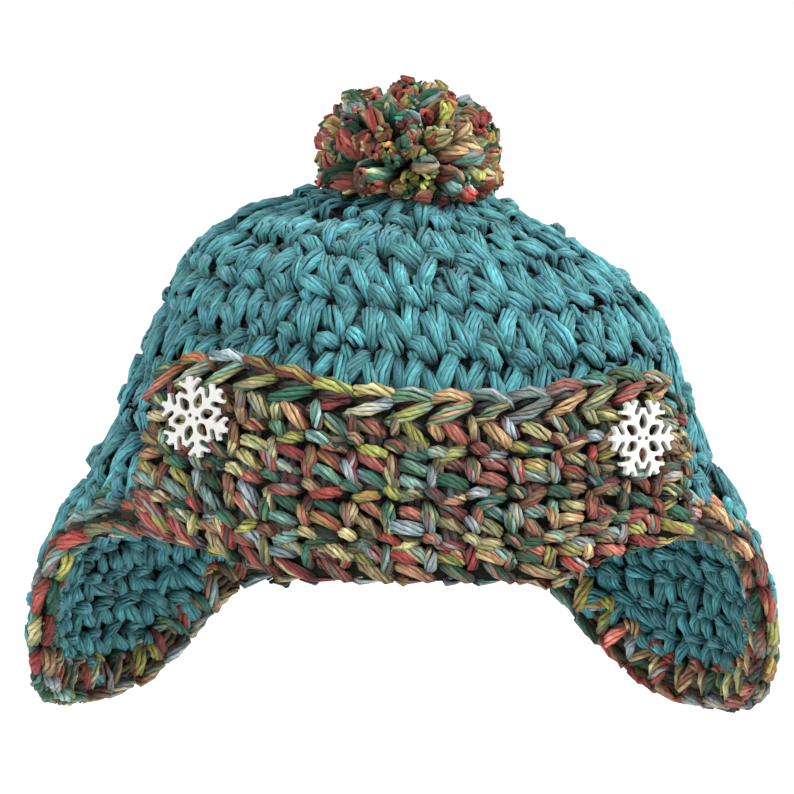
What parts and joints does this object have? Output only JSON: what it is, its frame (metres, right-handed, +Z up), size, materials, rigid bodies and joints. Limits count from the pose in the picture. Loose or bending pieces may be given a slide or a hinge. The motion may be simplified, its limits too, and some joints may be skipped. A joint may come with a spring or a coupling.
{
  "type": "crocheted trapper hat",
  "caption": "Child's crocheted trapper hat with ear flaps, turned-up front band, snowflake buttons and a pompom",
  "frame": {"origin": "the inside of the crown's top, where the head meets the hat", "axes": "+Z up, the front with its turned-up band towards -Y, the wearer's left and the viewer's right towards +X"},
  "size_m": [0.2284, 0.1514, 0.2012],
  "materials": {
    "crown_yarn": "thick teal yarn, crocheted in rounds",
    "flap_yarn": "thick teal yarn, crocheted in rows",
    "edging_yarn": "plied yarn of mixed coral, green, teal, cream and tan",
    "band_yarn": "plied yarn of mixed coral, green, teal, cream and tan",
    "button_plastic": "white moulded plastic with rounded edges",
    "pompom_yarn": "cut ends of the mixed yarn"
  },
  "bodies": {
    "root": {"crown": "crown_yarn", "ear_flap_left": "flap_yarn", "ear_flap_right": "flap_yarn", "rim_edging": "edging_yarn", "front_band": "band_yarn", "snowflake_button_left": "button_plastic", "snowflake_button_right": "button_plastic", "pompom": "pompom_yarn"}
  },
  "joints": []
}
